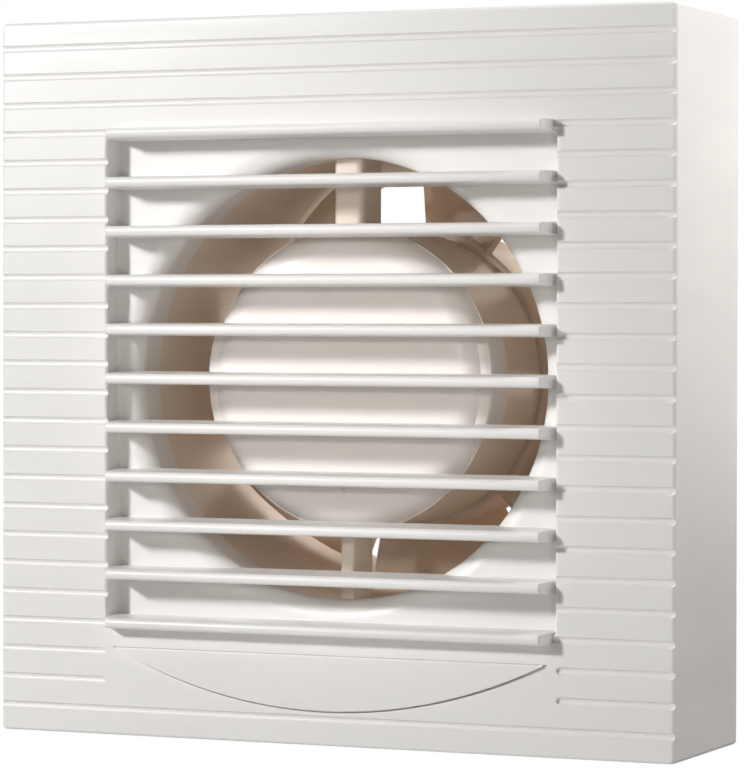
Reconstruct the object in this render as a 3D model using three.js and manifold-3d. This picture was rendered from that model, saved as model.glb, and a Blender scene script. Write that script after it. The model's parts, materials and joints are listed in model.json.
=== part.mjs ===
// A wall-mounted bathroom extractor fan for a 100 mm duct, as a three.js scene graph.
// Millimetres, +Z up. The origin is on the fan's axis in the plane of the wall; the fan
// faces -Y, into the room, and its duct spigot runs back along +Y, through the wall.

import * as THREE from 'three';
import { mergeVertices } from 'three/addons/utils/BufferGeometryUtils.js';
import Module from 'manifold-3d';

const wasm = await Module();
wasm.setup();

// ---------------------------------------------------------------- driving dimensions

const GAP = 0.3;                    // clearance between separate pieces
const ROUND = 48;                   // facets of the duct, cup, cap and hub
const SMALL_ROUND = 20;             // facets of bearings, washers and the shaft

// Front cover: a square shell whose middle is a recess with louvre blades across it.
const coverHalfX = 75;
const coverHalfZ = 74.4;
const faceY = -39;
const coverWall = 2;
const coverCorner = 1.2;
const edgeRound = 0.75;
const recessHalf = 50;
const recessDepth = 5;
const throatRadius = 45.3;          // inner radius of the cover's air intake
const mouthRadius = 49.4;           // the same, where it flares into the recess floor
const collarEndY = -24;
const lugZ = 34;                    // height of the lugs which seat in the housing's rim

// Grooves moulded across the cover's face.
const grooveCount = 24;
const groovePitch = 6;
const grooveWidth = 1.1;
const grooveDepth = 0.5;

// Louvre blades.
const bladeCount = 11;
const bladePitch = 10.15;
const bladeNose = 4.5;              // how far the blades stand out of the face
const bladeInset = 9;               // how far they reach behind the face, in the intake

// Handle pad under the louvres: a raised circular segment.
const padTopZ = -56;
const padBottomZ = -67.3;
const padHalf = 47.8;
const padRise = 0.5;

// Housing: wall plate, duct tube, motor cup and the two struts which carry the cup.
const plateHalfX = coverHalfX - coverWall - GAP;
const plateHalfZ = coverHalfZ - coverWall - GAP;
const plateThickness = 2.5;
const rimHeight = 10;
const rimWall = 1.8;
const ductOuter = 48.5;
const ductInner = 46.2;
const ductFrontY = -23.5;
const ductEndY = 36;
const cupOuter = 31;
const cupInner = 29;
const cupFrontY = -25.4;
const cupBackY = 2;
const cupFloor = 2;
const strutTopWidth = 6.3;
const strutBottomWidth = 3;
const strutFrontY = -28;
const channelWidth = 3.9;           // wiring channel inside the top strut
const wallScrewX = 40;
const wallScrewZ = 62;

// Motor: a shaded-pole motor with a sheet-steel stack and one coil above its rotor.
const stackFrontY = -19;
const stackBackY = -7;
const stackHalf = 17;
const stackBottomZ = -14;
const stackTopZ = 22;
const windowBottomZ = 11.4;
const limbBottomZ = 16;
const windowHalf = 9;
const boreRadius = 9.3;
const rotorRadius = 8.9;
const shaftRadius = 2;
const shaftFrontY = -25.6;
const shaftBackY = 18.5;
const shadingX = 10.6;
const shadingZ = 6.4;
const screwX = 14.2;
const screwRadius = 1.5;

// Impeller.
const impellerBlades = 7;
const impellerFrontY = cupBackY + GAP;
const impellerBackY = 21;
const hubRadius = 32.5;
const tipRadius = 44.6;
const bladeSweep = 39.5;             // degrees turned by a blade from front edge to back edge
const firstFrontEdge = 54.4;        // degrees, the front edge of the first blade
const bladeThickness = 1.5;

// Electrical connection, in the corner between the duct and the plate's rim.
const terminalX = 58;
const terminalZ = -48;
const inletX = 59;
const inletZ = -20;

// ---------------------------------------------------------------- materials

function material(color, roughness, metalness = 0) {
  return new THREE.MeshStandardMaterial({ color, roughness, metalness });
}

const materials = {
  coverPlastic: material(0xf1efeb, 0.35),
  bodyPlastic: material(0xe6dfd8, 0.4),
  capPlastic: material(0xeceae6, 0.4),
  fanPlastic: material(0xdfd6cc, 0.4),
  lamination: material(0x74777b, 0.45, 0.9),
  bobbinNylon: material(0xd8d4c6, 0.5),
  enamelWire: material(0x9c4a22, 0.35, 0.8),
  copper: material(0xb56a3d, 0.35, 1),
  zincSteel: material(0xb9bcc0, 0.35, 0.95),
  bronze: material(0x9a7440, 0.45, 0.9),
  shaftSteel: material(0xc8cacc, 0.2, 1),
  aluminium: material(0xc9ccd0, 0.4, 0.95),
  brass: material(0xc4a24e, 0.3, 0.95),
  rubber: material(0x2c2c2e, 0.8),
  terminalNylon: material(0xe9e6dd, 0.45),
  fibre: material(0x6b4630, 0.7),
  leadBrown: material(0x5c3524, 0.5),
  leadBlue: material(0x2c5c9c, 0.5),
};

// ---------------------------------------------------------------- solids and booleans

function signedVolume(geometry) {
  const p = geometry.attributes.position;
  const index = geometry.index;
  const [a, b, c] = [new THREE.Vector3(), new THREE.Vector3(), new THREE.Vector3()];
  let volume = 0;
  for (let i = 0; i < index.count; i += 3) {
    a.fromBufferAttribute(p, index.getX(i));
    b.fromBufferAttribute(p, index.getX(i + 1));
    c.fromBufferAttribute(p, index.getX(i + 2));
    volume += a.dot(b.cross(c)) / 6;
  }
  return volume;
}

// Makes a three.js geometry into a manifold solid with its faces turned outward.
function solid(geometry) {
  const bare = geometry.clone();
  bare.deleteAttribute('normal');
  bare.deleteAttribute('uv');
  const merged = mergeVertices(bare, 1e-4);
  const triangles = Array.from(merged.index.array);
  if (signedVolume(merged) < 0) {
    triangles.reverse();
  }
  return new wasm.Manifold(new wasm.Mesh({
    numProp: 3,
    vertProperties: Float32Array.from(merged.attributes.position.array),
    triVerts: Uint32Array.from(triangles),
  }));
}

function union(...solids) {
  return solids.reduce((sum, next) => sum.add(next));
}

// A box between two corners.
function box(x0, y0, z0, x1, y1, z1) {
  const geometry = new THREE.BoxGeometry(x1 - x0, y1 - y0, z1 - z0);
  geometry.translate((x0 + x1) / 2, (y0 + y1) / 2, (z0 + z1) / 2);
  return solid(geometry);
}

// A solid of revolution about the fan's axis, moved to (x, z); the profile is [radius, y].
function revolve(profile, segments = ROUND, x = 0, z = 0) {
  const points = profile.map(([radius, y]) => new THREE.Vector2(radius, y));
  const geometry = new THREE.LatheGeometry(points, segments);
  geometry.translate(x, 0, z);
  return solid(geometry);
}

function disc(radius, y0, y1, segments = SMALL_ROUND, x = 0, z = 0) {
  return revolve([[0, y0], [radius, y0], [radius, y1], [0, y1]], segments, x, z);
}

function tube(outer, inner, y0, y1, segments = ROUND, x = 0, z = 0) {
  return revolve([[inner, y0], [outer, y0], [outer, y1], [inner, y1], [inner, y0]],
    segments, x, z);
}

// A flat shape in the XZ plane, made thick from y0 to y1.
function plate(shape, y0, y1, curveSegments = 12) {
  const geometry = new THREE.ExtrudeGeometry(shape, {
    depth: y1 - y0, bevelEnabled: false, curveSegments,
  });
  geometry.rotateX(Math.PI / 2);
  geometry.translate(0, y1, 0);
  return solid(geometry);
}

function polygon(points) {
  return new THREE.Shape(points.map(([x, z]) => new THREE.Vector2(x, z)));
}

// Joins rings of equal point count into one solid; every ring is a convex outline.
function loft(rings) {
  const count = rings[0].length;
  const vertices = rings.flat();
  const index = [];
  for (let r = 0; r + 1 < rings.length; r += 1) {
    for (let i = 0; i < count; i += 1) {
      const j = (i + 1) % count;
      const [a, b] = [r * count + i, r * count + j];
      const [c, d] = [a + count, b + count];
      index.push(a, b, d, a, d, c);
    }
  }
  const last = (rings.length - 1) * count;
  for (let i = 1; i + 1 < count; i += 1) {
    index.push(0, i + 1, i);
    index.push(last, last + i, last + i + 1);
  }
  const geometry = new THREE.BufferGeometry();
  geometry.setAttribute('position',
    new THREE.Float32BufferAttribute(vertices.flatMap((v) => [v.x, v.y, v.z]), 3));
  geometry.setIndex(index);
  return solid(geometry);
}

// A rectangle with round corners in the plane y, as a ring of points for loft().
function roundedRing(halfX, halfZ, radius, y, z = 0, steps = 1) {
  const ring = [];
  for (let corner = 0; corner < 4; corner += 1) {
    const signX = corner === 0 || corner === 3 ? 1 : -1;
    const signZ = corner < 2 ? 1 : -1;
    for (let i = 0; i <= steps; i += 1) {
      const angle = (corner + i / steps) * Math.PI / 2;
      ring.push(new THREE.Vector3(
        signX * (halfX - radius) + radius * Math.cos(angle),
        y,
        z + signZ * (halfZ - radius) + radius * Math.sin(angle),
      ));
    }
  }
  return ring;
}

// ---------------------------------------------------------------- the scene graph

const group = new THREE.Group();

function addNode(name, body, surface) {
  const mesh = body.getMesh();
  const geometry = new THREE.BufferGeometry();
  geometry.setAttribute('position', new THREE.BufferAttribute(mesh.vertProperties, 3));
  geometry.setIndex(new THREE.BufferAttribute(mesh.triVerts, 1));
  geometry.computeVertexNormals();
  const node = new THREE.Mesh(geometry, surface);
  node.name = name;
  group.add(node);
}

// ---------------------------------------------------------------- front cover

// A straight groove: wider at the surface than at its bottom.
function groove(x0, x1, z) {
  const section = (x) => {
    const [surface, bottom] = [faceY - grooveDepth, faceY + grooveDepth];
    const [wide, narrow] = [grooveWidth * 0.6, grooveWidth * 0.3];
    return [
      new THREE.Vector3(x, surface, z - wide),
      new THREE.Vector3(x, surface, z + wide),
      new THREE.Vector3(x, bottom, z + narrow),
      new THREE.Vector3(x, bottom, z - narrow),
    ];
  };
  return loft([section(x0), section(x1)]);
}

function louvreBlade(z) {
  const noseY = faceY - bladeNose;
  const panelY = faceY + recessDepth;
  return loft([
    roundedRing(47.7, 0.55, 0.4, noseY, z),
    roundedRing(48.1, 0.85, 0.6, noseY + 0.2, z),
    roundedRing(48.4, 1.05, 0.7, noseY + 0.6, z),
    roundedRing(49.7, 1.2, 0.6, faceY, z),
    roundedRing(recessHalf + 0.5, 1.35, 0.4, panelY + 0.5, z),
  ]);
}

// The part of a blade that reaches on into the round intake.
function louvreRoot(z) {
  const reach = Math.sqrt((throatRadius + 1) ** 2 - z ** 2);
  return box(-reach, faceY + recessDepth - 0.5, z - 1.35, reach, faceY + bladeInset, z + 1.35);
}

// The cover's outline at a depth y, smaller all round by an inset.
function outerRing(inset, y) {
  return roundedRing(coverHalfX - inset, coverHalfZ - inset, coverCorner, y);
}

function makeFrontCover() {
  const panelY = faceY + recessDepth;
  let cover = loft([
    outerRing(edgeRound, faceY),
    outerRing(edgeRound * 0.3, faceY + edgeRound * 0.3),
    outerRing(0, faceY + edgeRound),
    outerRing(0, 0),
  ]);
  const [cavityX, cavityZ] = [coverHalfX - coverWall, coverHalfZ - coverWall];
  cover = cover.subtract(box(-cavityX, faceY + coverWall, -cavityZ, cavityX, 1, cavityZ));

  // The recess: its walls and floor, then the pocket cut into them.
  const floorBackY = panelY + coverWall;
  const wallHalf = recessHalf + coverWall;
  cover = cover.add(box(-wallHalf, faceY + 1, -wallHalf, wallHalf, floorBackY, wallHalf));
  cover = cover.subtract(loft([
    roundedRing(recessHalf + 0.9, recessHalf + 0.9, 0.8, faceY - 0.5),
    roundedRing(recessHalf + 0.6, recessHalf + 0.6, 0.7, faceY),
    roundedRing(recessHalf, recessHalf, 0.6, faceY + 0.8),
    roundedRing(recessHalf, recessHalf, 0.6, panelY),
  ]));

  // The intake: a bell mouth which runs on into a collar over the duct's front end.
  const collarOuter = throatRadius + 1.9;
  cover = cover.add(tube(collarOuter, throatRadius - 1, panelY + 1, collarEndY));
  cover = cover.subtract(revolve([
    [0, panelY - 1], [mouthRadius, panelY - 1], [mouthRadius, panelY],
    [mouthRadius - 1.3, panelY + 0.5], [mouthRadius - 2.6, panelY + 1.4],
    [throatRadius + 0.3, panelY + 2.8], [throatRadius, panelY + 4],
    [throatRadius, collarEndY + 1], [0, collarEndY + 1],
  ]));

  for (let i = 0; i < grooveCount; i += 1) {
    const z = (grooveCount / 2 - 0.5 - i) * groovePitch;
    const acrossRecess = Math.abs(z) < recessHalf + 2;
    const besidePad = z < padTopZ && z > padBottomZ;
    if (acrossRecess || besidePad) {
      cover = cover.subtract(groove(recessHalf + 0.6, coverHalfX + 1, z));
      cover = cover.subtract(groove(-coverHalfX - 1, -recessHalf - 0.6, z));
    } else {
      cover = cover.subtract(groove(-coverHalfX - 1, coverHalfX + 1, z));
    }
  }

  for (let i = 0; i < bladeCount; i += 1) {
    const z = ((bladeCount - 1) / 2 - i) * bladePitch;
    cover = cover.add(louvreBlade(z));
    if (Math.abs(z) < throatRadius) {
      cover = cover.add(louvreRoot(z));
    }
  }

  const sagitta = padTopZ - padBottomZ;
  const padRadius = (padHalf ** 2 + sagitta ** 2) / (2 * sagitta);
  const halfAngle = Math.asin(padHalf / padRadius);
  const pad = new THREE.Shape();
  pad.absarc(0, padBottomZ + padRadius, padRadius,
    -Math.PI / 2 - halfAngle, -Math.PI / 2 + halfAngle);
  cover = cover.add(plate(pad, faceY - padRise, faceY + 0.5, 12));

  // Lugs inside the side walls, which seat in notches in the housing's rim.
  for (const side of [-1, 1]) {
    for (const z of [-lugZ, lugZ]) {
      const inner = side * (cavityX - 1.1);
      const outer = side * (cavityX + 0.5);
      cover = cover.add(box(Math.min(inner, outer), -8, z - 5, Math.max(inner, outer), -5.5, z + 5));
    }
  }
  addNode('front_cover', cover, materials.coverPlastic);
}

// ---------------------------------------------------------------- housing

function makeHousing() {
  const block = (inset, y0, y1) => box(-plateHalfX + inset, y0, -plateHalfZ + inset,
    plateHalfX - inset, y1, plateHalfZ - inset);
  let housing = block(0, -rimHeight, 0).subtract(block(rimWall, -rimHeight - 1, -plateThickness));
  for (const side of [-1, 1]) {
    for (const z of [-lugZ, lugZ]) {
      const inner = side * (plateHalfX - rimWall - 1);
      const outer = side * (plateHalfX + 1);
      housing = housing.subtract(box(
        Math.min(inner, outer), -rimHeight - 1, z - 6, Math.max(inner, outer), -5, z + 6));
    }
  }

  housing = housing.add(tube(ductOuter, ductOuter - 1, ductFrontY, ductEndY));
  housing = housing.subtract(disc(ductInner, ductFrontY - 1, ductEndY + 1, ROUND));
  housing = housing.add(tube(ductOuter, ductInner, ductFrontY, ductEndY));

  // Ribs which brace the duct against the wall plate.
  for (const angle of [135, 180, 225]) {
    const a = angle * Math.PI / 180;
    const rib = new THREE.BoxGeometry(14, 9, 1.6);
    rib.translate(ductOuter + 5.5, -plateThickness - 4, 0);
    rib.rotateY(-a);
    housing = housing.add(solid(rib));
  }

  // Bosses around the four wall screws.
  for (const x of [-wallScrewX, wallScrewX]) {
    for (const z of [-wallScrewZ, wallScrewZ]) {
      housing = housing.add(disc(5, -6, -plateThickness + 0.5, 16, x, z));
      housing = housing.subtract(disc(2.3, -8, 1, 16, x, z));
    }
  }

  // Motor cup, open towards the room.
  let cup = tube(cupOuter, cupInner, cupFrontY, cupBackY);
  cup = cup.add(disc(cupOuter - 0.5, cupBackY - cupFloor, cupBackY, ROUND));

  // Struts: the top one is hollow at the back and carries the motor's leads.
  const strutOuterZ = ductInner + 1;
  const strutBackY = strutFrontY + 9.5;
  const strutSection = (half, round, z) => [
    new THREE.Vector3(-half + round, strutFrontY, z),
    new THREE.Vector3(half - round, strutFrontY, z),
    new THREE.Vector3(half - round * 0.3, strutFrontY + round * 0.3, z),
    new THREE.Vector3(half, strutFrontY + round, z),
    new THREE.Vector3(half, strutBackY, z),
    new THREE.Vector3(-half, strutBackY, z),
    new THREE.Vector3(-half, strutFrontY + round, z),
    new THREE.Vector3(-half + round * 0.3, strutFrontY + round * 0.3, z),
  ];
  const topHalf = strutTopWidth / 2;
  const bottomHalf = strutBottomWidth / 2;
  const struts = union(
    loft([strutSection(topHalf, 1.4, cupOuter - 1), strutSection(topHalf, 1.4, strutOuterZ)]),
    loft([strutSection(bottomHalf, 0.8, -cupOuter + 1),
      strutSection(bottomHalf, 0.8, -strutOuterZ)]),
  );
  // The struts' front ends stop short of the cover's collar and clear the motor cap.
  const besideCollar = tube(60, throatRadius - GAP, strutFrontY - 1, collarEndY + GAP);
  const besideCap = disc(cupOuter + 1.5 + GAP, strutFrontY - 1, cupFrontY, ROUND);
  cup = cup.add(struts.subtract(besideCollar).subtract(besideCap));
  const channel = channelWidth / 2;
  cup = cup.subtract(box(-channel, -24.9, cupInner - 2, channel, strutBackY + 1, cupInner + 3));
  cup = cup.subtract(box(-channel, -25.6, cupOuter + 2.2, channel, strutBackY + 1, 60));
  cup = cup.subtract(box(-channel, -24.9, cupInner, channel, strutBackY + 1, 60));

  // Bosses for the motor's two screws and the hole for its shaft.
  for (const x of [-screwX, screwX]) {
    cup = cup.add(disc(2.8, -3.8, 0.5, 16, x, 0));
    cup = cup.subtract(disc(screwRadius + 0.15, -5, 0.8, 12, x, 0));
  }
  cup = cup.subtract(disc(4.5, -1, cupBackY + 1, 24));
  housing = housing.add(cup);

  // The leads leave the duct through a slot in its front edge.
  housing = housing.subtract(box(-channel, ductFrontY - 1, 40, channel, strutBackY, 55));

  // Cable inlet, and a pad with posts for the terminal block and the cable clamp.
  housing = housing.subtract(disc(5, -8, 1, 24, inletX, inletZ));
  for (const x of [terminalX - 7, terminalX + 7]) {
    const z = terminalZ + 15;
    housing = housing.add(disc(2.6, -7, -plateThickness + 0.5, 16, x, z));
    housing = housing.subtract(disc(1.1, -8, -plateThickness, 12, x, z));
  }
  addNode('housing', housing, materials.bodyPlastic);
}

// ---------------------------------------------------------------- motor

function makeMotorCap() {
  const capFrontY = faceY + 9;
  let cap = revolve([
    [0, capFrontY], [26, capFrontY], [28, capFrontY + 0.5], [29.6, capFrontY + 1.4],
    [30.9, capFrontY + 2.7], [31.5, capFrontY + 3.9],
    [31.5, cupFrontY - GAP], [28.5, cupFrontY - GAP], [28.5, -23.8], [27.3, -23.8],
    [27.3, capFrontY + 2.4], [25.6, capFrontY + 1.5], [0, capFrontY + 1.5],
  ]);
  // Snap tabs which reach back over the cup, left and right.
  for (const side of [-1, 1]) {
    const reach = tube(32.4, cupOuter + GAP, -27, -19.5)
      .intersect(box(side < 0 ? -40 : 25, -30, -8, side < 0 ? -25 : 40, 0, 8));
    cap = cap.add(reach);
  }
  // Two round flats moulded in the cap's face.
  for (const z of [-13.5, 13.5]) {
    cap = cap.subtract(disc(4.25, capFrontY - 1, capFrontY + 0.2, 32, 0, z));
  }
  addNode('motor_cap', cap, materials.capPlastic);
}

function makeStator() {
  const outline = polygon([
    [-stackHalf, stackBottomZ + 3], [-stackHalf + 3, stackBottomZ],
    [stackHalf - 3, stackBottomZ], [stackHalf, stackBottomZ + 3],
    [stackHalf, stackTopZ - 1], [stackHalf - 1, stackTopZ],
    [-stackHalf + 1, stackTopZ], [-stackHalf, stackTopZ - 1],
  ]);
  let stack = plate(outline, stackFrontY, stackBackY);
  stack = stack.subtract(disc(boreRadius, stackFrontY - 1, stackBackY + 1, 32));
  stack = stack.subtract(box(-windowHalf, stackFrontY - 1, windowBottomZ,
    windowHalf, stackBackY + 1, limbBottomZ));
  for (const x of [-screwX, screwX]) {
    stack = stack.subtract(disc(screwRadius + GAP, stackFrontY - 1, stackBackY + 1, 12, x, 0));
  }
  // Slots for the shading rings: one in each pole, beside the bore.
  for (const side of [-1, 1]) {
    const [x, z] = [side * shadingX, side * shadingZ];
    stack = stack.subtract(box(x - 0.9, stackFrontY - 1, z - 0.9, x + 0.9, stackBackY + 1, z + 0.9));
  }
  addNode('stator_stack', stack, materials.lamination);

  for (const [name, side] of [['shading_ring_right', 1], ['shading_ring_left', -1]]) {
    const [x, z] = [side * shadingX, side * shadingZ];
    const bar = box(x - 0.6, stackFrontY - 1.4, z - 0.6, x + 0.6, stackBackY + 1.4, z + 0.6);
    addNode(name, bar, materials.copper);
  }
}

function makeCoil() {
  const [y0, y1] = [stackFrontY - GAP, stackBackY + GAP];
  const [z0, z1] = [limbBottomZ - GAP, stackTopZ + GAP];
  const wall = 0.6;
  const flange = 4.1;
  const half = windowHalf - GAP;
  const core = box(-half, y0 - wall, z0 - wall, half, y1 + wall, z1 + wall);
  const flanges = [-1, 1].map((side) => {
    const [xa, xb] = [side * (half - 1), side * half];
    return box(Math.min(xa, xb), y0 - flange, z0 - 3.9, Math.max(xa, xb), y1 + flange, z1 + 3.9);
  });
  const bobbin = union(core, ...flanges).subtract(box(-half - 1, y0, z0, half + 1, y1, z1));
  addNode('coil_bobbin', bobbin, materials.bobbinNylon);

  const inset = half - 1 - GAP;
  const winding = box(-inset, y0 - 3.7, z0 - 3.5, inset, y1 + 3.7, z1 + 3.5)
    .subtract(box(-inset - 1, y0 - wall - 0.2, z0 - wall - 0.2,
      inset + 1, y1 + wall + 0.2, z1 + wall + 0.2));
  addNode('coil_winding', winding, materials.enamelWire);
}

// A pressed strap which stands on the stack and holds a bearing on the motor's axis.
function makeBracket(name, seatY, outward) {
  const t = 1.2 * outward;
  const crown = seatY + 4.2 * outward;
  const profile = [
    [-stackHalf, seatY], [-10.4, seatY], [-8.8, crown], [8.8, crown],
    [10.4, seatY], [stackHalf, seatY], [stackHalf, seatY + t], [11.1, seatY + t],
    [9.5, crown + t], [-9.5, crown + t], [-11.1, seatY + t], [-stackHalf, seatY + t],
  ];
  const shape = new THREE.Shape(profile.map(([x, y]) => new THREE.Vector2(x, y)));
  const geometry = new THREE.ExtrudeGeometry(shape, { depth: 10, bevelEnabled: false });
  geometry.translate(0, 0, -5);
  let bracket = solid(geometry);
  bracket = bracket.subtract(disc(4.15, -30, 0, 24));
  for (const x of [-screwX, screwX]) {
    bracket = bracket.subtract(disc(screwRadius + GAP, -30, 0, 12, x, 0));
  }
  addNode(name, bracket, materials.zincSteel);
}

function makeBearing(name, y0, y1) {
  const middle = (y0 + y1) / 2;
  const bore = shaftRadius + GAP;
  addNode(name, revolve([
    [bore, y0], [3.1, y0], [3.9, middle - 0.6], [3.9, middle + 0.6], [3.1, y1], [bore, y1],
    [bore, y0],
  ], SMALL_ROUND), materials.bronze);
}

function makeMotorScrew(name, x) {
  const headY = stackFrontY - 1.2;
  let screw = revolve([
    [0, headY - 2], [1.8, headY - 2], [2.8, headY - 1.2], [2.8, headY],
    [screwRadius, headY], [screwRadius, -0.9], [0.6, -0.2], [0, -0.2],
  ], 12, x, 0);
  screw = screw.subtract(box(x - 1.9, headY - 2.5, -0.3, x + 1.9, headY - 1.2, 0.3));
  screw = screw.subtract(box(x - 0.3, headY - 2.5, -1.9, x + 0.3, headY - 1.2, 1.9));
  addNode(name, screw, materials.zincSteel);
}

function makeMotor() {
  makeStator();
  makeCoil();
  makeBracket('front_bracket', stackFrontY, -1);
  makeBracket('rear_bracket', stackBackY, 1);
  makeBearing('front_bearing', -25.1, -21.9);
  makeBearing('rear_bearing', -4.1, -0.9);
  makeMotorScrew('motor_screw_left', -screwX);
  makeMotorScrew('motor_screw_right', screwX);
  for (const [name, x] of [['rubber_mount_left', -screwX], ['rubber_mount_right', screwX]]) {
    addNode(name, tube(2.8, screwRadius + GAP, stackBackY + 1.2, -3.8, 16, x, 0),
      materials.rubber);
  }
}

// ---------------------------------------------------------------- impeller and rotor

// One impeller blade: a twisted plate whose front edge leads and whose back edge trails.
function impellerBlade(startDegrees) {
  const [innerR, outerR] = [hubRadius - 1, tipRadius];
  const [rows, columns] = [2, 5];
  const frontY = impellerFrontY + 0.2;
  const backY = impellerBackY - 1;
  const point = (u, v, offset) => {
    const radius = innerR + (outerR - innerR) * u;
    const angle = (startDegrees + bladeSweep * v) * Math.PI / 180;
    const camber = 1.2 * Math.sin(Math.PI * v);
    const y = frontY + (backY - bladeThickness - frontY) * v + camber + offset;
    return [radius * Math.cos(angle), y, radius * Math.sin(angle)];
  };
  const vertices = [];
  const id = (side, i, j) => (side * (rows + 1) + i) * (columns + 1) + j;
  for (const offset of [0, bladeThickness]) {
    for (let i = 0; i <= rows; i += 1) {
      for (let j = 0; j <= columns; j += 1) {
        vertices.push(...point(i / rows, j / columns, offset));
      }
    }
  }
  const index = [];
  const quad = (a, b, c, d) => index.push(a, b, c, a, c, d);
  for (let i = 0; i < rows; i += 1) {
    for (let j = 0; j < columns; j += 1) {
      quad(id(0, i, j), id(0, i, j + 1), id(0, i + 1, j + 1), id(0, i + 1, j));
      quad(id(1, i, j), id(1, i + 1, j), id(1, i + 1, j + 1), id(1, i, j + 1));
    }
    quad(id(0, i, 0), id(0, i + 1, 0), id(1, i + 1, 0), id(1, i, 0));
    quad(id(0, i, columns), id(1, i, columns), id(1, i + 1, columns), id(0, i + 1, columns));
  }
  for (let j = 0; j < columns; j += 1) {
    quad(id(0, 0, j), id(1, 0, j), id(1, 0, j + 1), id(0, 0, j + 1));
    quad(id(0, rows, j), id(0, rows, j + 1), id(1, rows, j + 1), id(1, rows, j));
  }
  const geometry = new THREE.BufferGeometry();
  geometry.setAttribute('position', new THREE.Float32BufferAttribute(vertices, 3));
  geometry.setIndex(index);
  return solid(geometry);
}

function makeImpeller() {
  const wall = 1.8;
  const bore = shaftRadius + 0.1;
  let impeller = revolve([
    [bore, impellerFrontY], [hubRadius - 0.8, impellerFrontY], [hubRadius, impellerFrontY + 0.8],
    [hubRadius, impellerBackY], [hubRadius - wall, impellerBackY],
    [hubRadius - wall, impellerFrontY + wall], [6, impellerFrontY + wall],
    [6, 15.5], [bore, 15.5], [bore, impellerFrontY],
  ]);
  for (let i = 0; i < impellerBlades; i += 1) {
    impeller = impeller.add(impellerBlade(firstFrontEdge + i * 360 / impellerBlades));
  }
  // Six ribs stiffen the hub's inside.
  for (let i = 0; i < 6; i += 1) {
    const rib = new THREE.BoxGeometry(hubRadius - wall - 4.5, 6, 1.4);
    rib.translate((hubRadius - wall + 5) / 2, impellerFrontY + 4, 0);
    rib.rotateY(i * Math.PI / 3);
    impeller = impeller.add(solid(rib));
  }
  addNode('impeller', impeller, materials.fanPlastic);
}

function makeRotor() {
  addNode('shaft', revolve([
    [0, shaftFrontY], [shaftRadius - 0.4, shaftFrontY], [shaftRadius, shaftFrontY + 0.4],
    [shaftRadius, shaftBackY - 0.4], [shaftRadius - 0.4, shaftBackY], [0, shaftBackY],
  ], SMALL_ROUND), materials.shaftSteel);
  const bore = shaftRadius + 0.1;
  addNode('rotor_core', tube(rotorRadius, bore, stackFrontY, stackBackY, 24),
    materials.lamination);
  addNode('rotor_ring_front', tube(8.3, 5, stackFrontY - 1.9, stackFrontY, 24),
    materials.aluminium);
  addNode('rotor_ring_rear', tube(8.3, 5, stackBackY, stackBackY + 1.9, 24),
    materials.aluminium);
  addNode('thrust_washer_front', tube(3.6, bore, -21.6, -21, SMALL_ROUND), materials.fibre);
  addNode('thrust_washer_rear', tube(3.6, bore, -5, -4.4, SMALL_ROUND), materials.fibre);
  addNode('impeller_nut', disc(4, 15.6, 17.6, 6).subtract(disc(bore, 15, 18)), materials.brass);
  makeImpeller();
}

// ---------------------------------------------------------------- wiring

function makeTerminalBlock() {
  const [x, z] = [terminalX, terminalZ];
  const [halfX, halfZ] = [10, 8.5];
  const [backY, frontY] = [-plateThickness - 0.1, -15];
  let block = box(x - halfX, frontY, z - halfZ, x + halfX, backY, z + halfZ);
  block = block.subtract(box(x - 0.8, frontY - 1, z - halfZ - 1, x + 0.8, -8, z + halfZ + 1));
  for (const side of [-1, 1]) {
    const poleX = x + side * 5;
    block = block.subtract(box(poleX - 2.6, -11, z - halfZ - 1, poleX + 2.6, -5.8, z + halfZ + 1));
    for (const end of [-1, 1]) {
      block = block.subtract(disc(2.2, -16, -8, 16, poleX, z + end * 4.6));
    }
  }
  addNode('terminal_block', block, materials.terminalNylon);

  for (const [side, name] of [[-1, 'left'], [1, 'right']]) {
    const poleX = x + side * 5;
    const insert = box(poleX - 2.3, -10.7, z - 7, poleX + 2.3, -6.1, z + 7)
      .subtract(box(poleX - 1.5, -9.6, z - 8, poleX + 1.5, -7, z + 8));
    const drilled = [-1, 1].reduce((body, end) => body.subtract(
      disc(1.3, -12, -9, 12, poleX, z + end * 4.6)), insert);
    addNode(`terminal_insert_${name}`, drilled, materials.brass);
    for (const [end, place] of [[-1, 'lower'], [1, 'upper']]) {
      const screw = revolve([
        [0, -13.2], [1.9, -13.2], [1.9, -11.3], [1.1, -11.3], [1.1, -9.3], [0, -9.3],
      ], 12, poleX, z + end * 4.6)
        .subtract(box(poleX - 2.2, -14, z + end * 4.6 - 0.3, poleX + 2.2, -12.4,
          z + end * 4.6 + 0.3));
      addNode(`terminal_screw_${name}_${place}`, screw, materials.zincSteel);
    }
  }
}

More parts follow.
